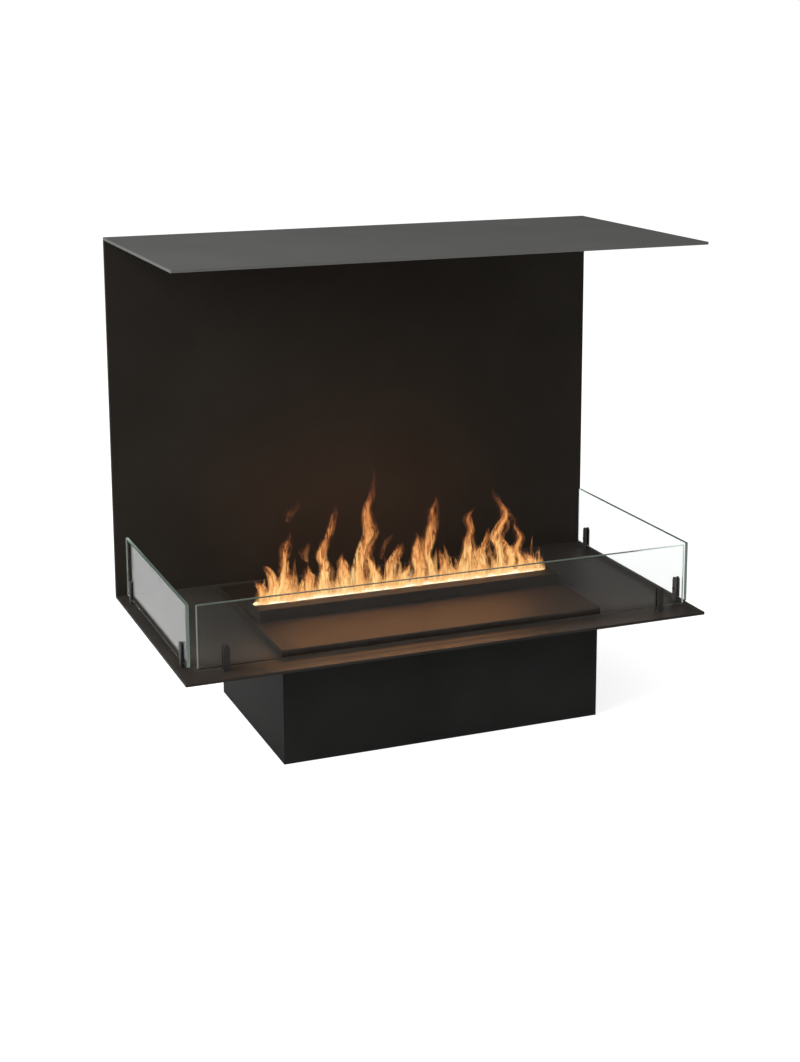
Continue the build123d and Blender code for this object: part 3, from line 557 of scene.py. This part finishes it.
# %% Smooth lines and curled sheets
def smooth_line(points, steps=4):
    """Points between the given ones on a curve that passes through all of them."""
    ends = [points[0]] + points + [points[-1]]
    result = []
    for index in range(1, len(ends) - 2):
        a, b, c, d = (Vector(ends[index + k]) for k in (-1, 0, 1, 2))
        for step in range(steps):
            t = step / steps
            square = 2 * a - 5 * b + 4 * c - d
            cube = 3 * b - a - 3 * c + d
            result.append(0.5 * (2 * b + (c - a) * t + square * t**2 + cube * t**3))
    result.append(Vector(points[-1]))
    return result


def add_sheet(mesh, line, chance, offset, share_width, start, stop, dim=1.0, less_light_and_density=0.0):
    """Loft one curled sheet along part of a line, set off to one side of it."""
    painted_light_and_density, body = mesh.verts.layers.float["painted_light_and_density"], mesh.verts.layers.float["body"]
    phase, wave = chance.uniform(0, 6.28), chance.uniform(4, 9)
    deep = chance.uniform(-0.006, 0.006)
    turn, twist = chance.uniform(-0.5, 0.5), chance.uniform(-1.0, 1.0)
    curl = chance.choice((-0.5, 0.5))
    low_row = round(start * (len(line) - 1))
    high_row = max(low_row + 3, round(stop * (len(line) - 1)))
    rows = []
    for index in range(low_row, min(high_row, len(line) - 1) + 1):
        share = index / (len(line) - 1)
        own = (index - low_row) / (high_row - low_row)
        across, up, half = line[index]
        wander = offset * (1 - 0.5 * share) + 0.28 * math.sin(phase + wave * share) * min(1, 3 * share)
        sway = deep + 0.006 * math.sin(phase + 5 * share) * share
        centre = Vector(((across + half * wander) / 1000, SLOT_Y + sway, up / 1000))
        width = max(half, 2.5) * share_width * min(1, 0.25 + 2.4 * (1 - own)) / 1000
        angle = turn + twist * share
        side = Vector((math.cos(angle), math.sin(angle), 0))
        back = Vector((-math.sin(angle), math.cos(angle), 0))
        ends = min(1, 3.2 * (1 - own)) * (1 if start == 0 else min(1, 4 * own))
        row = []
        for column in range(5):
            u = column / 2 - 1
            vertex = mesh.verts.new(centre + side * (width * u) + back * (curl * width * (1 - u * u)))
            # Painted lamp light and mist density: falls with height, and is lower for faint wisps.
            vertex[painted_light_and_density] = 1 - less_light_and_density - 0.55 * share - (up - ROOT_MM) / LIGHT_AND_DENSITY_FALLOFF_MM
            vertex[body] = dim * ends * (1 - u * u)
            row.append(vertex)
        rows.append(row)
    for low, high in zip(rows, rows[1:]):
        for column in range(4):
            face = mesh.faces.new((low[column], low[column + 1], high[column + 1], high[column]))
            face.smooth = True


def mist_object(name, material, fill):
    """One object that holds all the sheets that `fill` adds to its mesh."""
    mesh = bmesh.new()
    mesh.verts.layers.float.new("painted_light_and_density")
    mesh.verts.layers.float.new("body")
    fill(mesh)
    data = bpy.data.meshes.new(name)
    mesh.to_mesh(data)
    mesh.free()
    piece = bpy.data.objects.new(name, data)
    scene.collection.objects.link(piece)
    data.materials.append(material)
    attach(piece, "cover")
    print(name, len(data.vertices), "points")
    return piece


# %% [markdown]
# The mist does not glow by itself; the light of the lamps below it is painted in as emission,
# with an alpha. Streaks of noise, drawn out upwards, break each sheet into threads. Colour
# follows the painted light: cream at the slot, amber in the body, and a dull rose brown where the
# mist thins out and the lamps no longer reach.


# %% Lit mist
def lit_mist(name, stops, opaque, thin, threads, strength=1.0):
    """Mist with painted glow: `opaque` at the slot, `thin` at the tips, with upright threads."""
    material = bpy.data.materials.new(name)
    material.use_nodes = True
    tree = material.node_tree
    shader = tree.nodes["Principled BSDF"]
    painted_light_and_density = add_node(tree, "ShaderNodeAttribute", attribute_name="painted_light_and_density").outputs["Fac"]
    body = add_node(tree, "ShaderNodeAttribute", attribute_name="body").outputs["Fac"]
    place = add_node(tree, "ShaderNodeTexCoord").outputs["Object"]
    drawn = add_node(tree, "ShaderNodeMapping", {"Vector": place, "Scale": threads})
    strands = add_node(
        tree, "ShaderNodeTexNoise",
        {"Vector": drawn.outputs["Vector"], "Scale": 1.0, "Detail": 2.0, "Distortion": 1.6}
    )
    streak = to_range(tree, strands.outputs["Fac"], 0.38, 0.58, 0.22, 1.0)
    veil = calculate(tree, "MULTIPLY", to_range(tree, painted_light_and_density, 0.1, 0.75, thin, opaque), streak)
    tree.links.new(calculate(tree, "MULTIPLY", veil, body), shader.inputs["Alpha"])
    drift = to_range(tree, strands.outputs["Fac"], 0.4, 0.62, -0.3, 0.2)
    # Emission colour is the painted lamp light, through the ramp.
    tree.links.new(
        ramp(tree, calculate(tree, "ADD", painted_light_and_density, drift), stops), shader.inputs["Emission Color"]
    )
    shader.inputs["Emission Strength"].default_value = strength
    shader.inputs["Base Color"].default_value = (0.0, 0.0, 0.0, 1)
    shader.inputs["Specular IOR Level"].default_value = 0.0
    shader.inputs["Roughness"].default_value = 1.0
    return material


ROSE, RUST, AMBER, CREAM = (0.36, 0.10, 0.05), (0.66, 0.20, 0.06), (0.95, 0.41, 0.12), (1.0, 0.7, 0.29)
veil_mist = lit_mist("mist_veil", [(0.0, ROSE), (0.4, RUST), (0.8, AMBER)], 0.4, 0.1, (80, 80, 26))
strand_mist = lit_mist(
    "mist_strands", [(0.12, ROSE), (0.36, RUST), (0.66, AMBER), (1.0, CREAM)], 0.84, 0.1,
    (140, 140, 24), 1.15
)
FAINT = (3, 6, 12)  # places in TONGUES of the wisps that float free of the slot


def fill_veils(mesh):
    """One wide faint sheet round each tongue."""
    chance = random.Random(5)
    for number, points in enumerate(TONGUES):
        line = smooth_line(points)
        add_sheet(
            mesh, line, chance, 0.0, 1.35, 0.0, 1.0, 0.5 if number in FAINT else 1.0,
            0.2 if number in FAINT else 0.0
        )


def fill_strands(mesh):
    """A bundle of narrow sheets round each tongue, ending at different heights."""
    chance = random.Random(9)
    for number, points in enumerate(TONGUES):
        line = smooth_line(points)
        faint = number in FAINT
        bundle = 3 if faint else 6
        for strand in range(bundle):
            offset = -0.7 + 1.4 * (strand + chance.uniform(0.2, 0.8)) / bundle
            stop = 1.0 if strand in (1, 3) else chance.uniform(0.45, 0.9)
            start = 0.0 if strand < 5 else chance.uniform(0.2, 0.4)
            add_sheet(
                mesh, line, chance, offset, chance.uniform(0.34, 0.6), start, stop,
                0.3 if faint else 1.0, 0.3 if faint else 0.0
            )


mist_object("flame_veils", veil_mist, fill_veils)
mist_object("flame_strands", strand_mist, fill_strands)

# %% [markdown]
# Between the tall tongues a fringe of short ones fills the slot from end to end. Nothing in the
# photograph fixes each of them, so a seeded random series gives their places and heights: it is
# random to look at and the same in every run. Among them stands a low band of dense mist: two
# sheets as long as the slot, with ragged crests.


# %% Fringe of short tongues and the low band
FRINGE_COUNT = 76
FRINGE_LEFT_MM, FRINGE_LENGTH_MM, FRINGE_ROOT_MM = -296, 582, 233
BAND_STEPS = 148
BAND_LEFT, BAND_LENGTH, BAND_ROOT = -0.3, 0.59, 0.234


def fill_fringe(mesh):
    """Short sheets from end to end of the slot."""
    chance = random.Random(12)
    for step in range(FRINGE_COUNT):
        place = step + chance.uniform(0.1, 0.9)
        across = FRINGE_LEFT_MM + FRINGE_LENGTH_MM * place / FRINGE_COUNT
        tall = chance.uniform(24, 58) + (28 if step % 4 == 1 else 0)
        lean = chance.uniform(-9, 9)
        half = chance.uniform(7, 12)
        points = [
            (across, FRINGE_ROOT_MM, half),
            (across + lean / 3, FRINGE_ROOT_MM + tall / 2, half * 0.8),
            (across + lean, FRINGE_ROOT_MM + tall, 2)
        ]
        add_sheet(mesh, smooth_line(points), chance, 0.0, 1.0, 0.0, 1.0, chance.uniform(0.6, 1.0))


def fill_band(mesh):
    """Two long upright sheets whose crests rise and fall."""
    painted_light_and_density, body = mesh.verts.layers.float["painted_light_and_density"], mesh.verts.layers.float["body"]
    for deep, phase in ((-0.006, 0.4), (0.005, 2.1)):
        columns = []
        for step in range(BAND_STEPS + 1):
            across = BAND_LEFT + BAND_LENGTH * step / BAND_STEPS
            crest = 0.026 + 0.008 * math.sin(47 * across + phase)
            crest += 0.006 * math.sin(131 * across + 3 * phase)
            ends = min(1, 0.3 + 9 * min(step, BAND_STEPS - step) / BAND_STEPS)
            column = []
            for row in range(5):
                vertex = mesh.verts.new((across, SLOT_Y + deep, BAND_ROOT + crest * ends * row / 4))
                # Painted lamp light and density, falling a little towards the crest.
                vertex[painted_light_and_density] = 1 - 0.25 * row / 4
                vertex[body] = (1.0, 0.85, 0.55, 0.22, 0.0)[row]
                column.append(vertex)
            columns.append(column)
        for left, right in zip(columns, columns[1:]):
            for row in range(4):
                mesh.faces.new((left[row], right[row], right[row + 1], left[row + 1])).smooth = True


band_mist = lit_mist(
    "mist_band", [(0.0, RUST), (0.6, AMBER), (1.0, (0.98, 0.62, 0.28))], 0.9, 0.6, (110, 110, 60)
)
mist_object("flame_fringe", strand_mist, fill_fringe)
mist_object("flame_band", band_mist, fill_band)

# %% [markdown]
# ## The bed of mist
#
# Where the mist leaves the slot it is dense and lies on the lips of the slot as one bright line,
# lit by the lamps below; its emission is painted glow, paler towards the front of the slot. It is
# a low ridge with an uneven crest, a little fuller at the left end: rows of points across the
# slot, lifted by two sine waves, joined into one closed skin.

# %% Bed of mist along the slot
BED_STEPS = 96
BED_LEFT, BED_LENGTH, BULB_PLACE = -0.3025, 0.5925, -0.298


def bed_section(across, share):
    """The outline of the ridge at one place along the slot."""
    crest = 0.0042 + 0.0011 * math.sin(61 * across) + 0.0008 * math.sin(143 * across + 1)
    bulb = math.exp(-(((across - BULB_PLACE) / 0.0045) ** 2))
    end = min(1.0, 12 * min(share, 1 - share) + 0.3)
    outline = []
    for step in range(9):
        angle = math.pi * step / 8
        along = SLOT_Y - (0.0078 * end + 0.003 * bulb) * math.cos(angle)
        outline.append(Vector((across, along, LIP_Z + (crest * end + 0.003 * bulb) * math.sin(angle))))
    return outline


bed_mesh = bmesh.new()
bed_rings = []
for step in range(BED_STEPS + 1):
    across = BED_LEFT + BED_LENGTH * step / BED_STEPS
    bed_rings.append([bed_mesh.verts.new(point) for point in bed_section(across, step / BED_STEPS)])
for low, high in zip(bed_rings, bed_rings[1:]):
    for step in range(8):
        bed_mesh.faces.new((low[step], high[step], high[step + 1], low[step + 1])).smooth = True
    bed_mesh.faces.new((low[8], high[8], high[0], low[0]))
bed_mesh.faces.new(reversed(bed_rings[0]))
bed_mesh.faces.new(bed_rings[-1])
bmesh.ops.recalc_face_normals(bed_mesh, faces=bed_mesh.faces)
bed_data = bpy.data.meshes.new("mist_bed")
bed_mesh.to_mesh(bed_data)
bed_mesh.free()
mist_bed = bpy.data.objects.new("mist_bed", bed_data)
scene.collection.objects.link(mist_bed)
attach(mist_bed, "cover")

bed_glow = bpy.data.materials.new("bed_glow")
bed_glow.use_nodes = True
tree = bed_glow.node_tree
bed_place = add_node(tree, "ShaderNodeTexCoord").outputs["Object"]
bed_noise = add_node(tree, "ShaderNodeTexNoise", {"Vector": bed_place, "Scale": 75.0, "Detail": 3.0})
# Painted glow of the lamp-lit mist; the front of the ridge is painted paler.
bed_tone = mix_colour(
    tree, to_range(tree, bed_noise.outputs["Fac"], 0.35, 0.65), (0.95, 0.55, 0.25), (1.0, 0.74, 0.42)
)
bed_depth = add_node(tree, "ShaderNodeSeparateXYZ", {"Vector": bed_place}).outputs["Y"]
bed_front = to_range(tree, bed_depth, SLOT_Y - 0.003, SLOT_Y - 0.0065)
bed_colour = mix_colour(tree, bed_front, bed_tone, (1.0, 0.93, 0.7))
tree.links.new(bed_colour, tree.nodes["Principled BSDF"].inputs["Emission Color"])
tree.nodes["Principled BSDF"].inputs["Emission Strength"].default_value = 1.1
tree.nodes["Principled BSDF"].inputs["Base Color"].default_value = (0.3, 0.2, 0.1, 1)
bed_data.materials.append(bed_glow)
print("bed of mist", len(bed_data.vertices), "points")

# %% [markdown]
# ## Light
#
# The flames throw a warm light on the hearth and the panel. Emission alone would light them, but
# with grain, so two warm area lamps over the slot give most of the glow smoothly: one is turned
# to the hearth and one to the panel. The room is a plain studio: one large soft lamp from the
# upper left, a weak one from the right, and a white world that is seen at full strength only
# straight on or through the glass, and dimmer where coat and glass mirror it.


# %% Studio lamps
def soft_lamp(name, place, aim, size, power, colour=(1, 1, 1)):
    """A rectangular area lamp turned towards a point."""
    light = bpy.data.lights.new(name, "AREA")
    light.shape = "RECTANGLE"
    light.size, light.size_y = size
    light.energy = power
    light.color = colour
    lamp = bpy.data.objects.new(name, light)
    scene.collection.objects.link(lamp)
    lamp.location = place
    lamp.rotation_euler = (Vector(aim) - Vector(place)).to_track_quat("-Z", "Y").to_euler()
    lamp.visible_camera = False
    return lamp


soft_lamp("left_window", (-3.4, -0.8, 2.5), (0, 0, 0.4), (2.6, 2.0), 125)
soft_lamp("right_fill", (3.0, -1.8, 2.0), (0, 0, 0.4), (2.0, 2.0), 16)
soft_lamp("flame_glow", (-0.005, -0.0025, 0.33), (-0.005, -0.6, 0.2), (0.5, 0.1), 1.2, (1.0, 0.42, 0.14))
soft_lamp("flame_glow_back", (-0.005, 0.02, 0.33), (-0.005, 0.3, 0.42), (0.5, 0.12), 0.35, (1.0, 0.4, 0.13))

# %% World
def seen_straight(tree, paths):
    """One for rays that reach the camera straight or through glass, zero for all others."""
    return calculate(tree, "MAXIMUM", paths.outputs["Is Camera Ray"], paths.outputs["Is Transmission Ray"])


ROOM_LIGHT, MIRRORED_LIGHT, SEEN_LIGHT = 0.35, 0.1, 1.0
world = bpy.data.worlds.new("studio")
scene.world = world
world.use_nodes = True
tree = world.node_tree
paths = add_node(tree, "ShaderNodeLightPath")
seen = seen_straight(tree, paths)
dimmed = calculate(tree, "MULTIPLY", paths.outputs["Is Glossy Ray"], ROOM_LIGHT - MIRRORED_LIGHT)
plain = to_range(tree, seen, 0.0, 1.0, ROOM_LIGHT, SEEN_LIGHT)
strength = calculate(tree, "SUBTRACT", plain, dimmed)
tree.links.new(strength, tree.nodes["Background"].inputs["Strength"])
tree.nodes["Background"].inputs["Color"].default_value = (1, 1, 1, 1)
print("world:", world.name)

# %% [markdown]
# The floor is a pale sheet that runs far enough to meet the white of the world. Its diffuse part
# takes the shadow of the housing, and a share of plain light, seen only by the camera and by
# glass, lifts the rest of it to white. Where it lies in front of the object its mirror image is
# painted dark: a painted reflection, as of a room behind the photographer.

# %% Floor
FLOOR_HALF = 20.0
FLOOR_DROP = 0.0005
FLOOR_LIFT = 0.75
floor_data = bpy.data.meshes.new("studio_floor")
floor_mesh = bmesh.new()
bmesh.ops.create_grid(floor_mesh, x_segments=4, y_segments=4, size=FLOOR_HALF)
floor_mesh.to_mesh(floor_data)
floor_mesh.free()
floor = bpy.data.objects.new("studio_floor", floor_data)
scene.collection.objects.link(floor)
floor.location = (0, 0, -FLOOR_DROP)
paper = bpy.data.materials.new("pale_paper")
paper.use_nodes = True
tree = paper.node_tree
shader = tree.nodes["Principled BSDF"]
shader.inputs["Roughness"].default_value = 0.9
shader.inputs["Specular IOR Level"].default_value = 0.0
paths = add_node(tree, "ShaderNodeLightPath")
seen = seen_straight(tree, paths)
paper_place = add_node(tree, "ShaderNodeTexCoord").outputs["Object"]
# Painted reflection: mirror rays see the floor in front of the object as dark.
ahead = to_range(
    tree, add_node(tree, "ShaderNodeSeparateXYZ", {"Vector": paper_place}).outputs["Y"], 0.1, -0.3
)
painted_reflection_mask = calculate(tree, "MULTIPLY", paths.outputs["Is Glossy Ray"], ahead)
paper_colour = mix_colour(tree, painted_reflection_mask, (0.86, 0.86, 0.86), (0.12, 0.12, 0.12))
tree.links.new(paper_colour, shader.inputs["Base Color"])
glow = add_node(tree, "ShaderNodeEmission", {"Strength": calculate(tree, "MULTIPLY", seen, FLOOR_LIFT)})
both = tree.nodes.new("ShaderNodeAddShader")
tree.links.new(shader.outputs[0], both.inputs[0])
tree.links.new(glow.outputs[0], both.inputs[1])
tree.links.new(both.outputs[0], tree.nodes["Material Output"].inputs["Surface"])
floor_data.materials.append(paper)
print("floor", 2 * FLOOR_HALF, "m across")
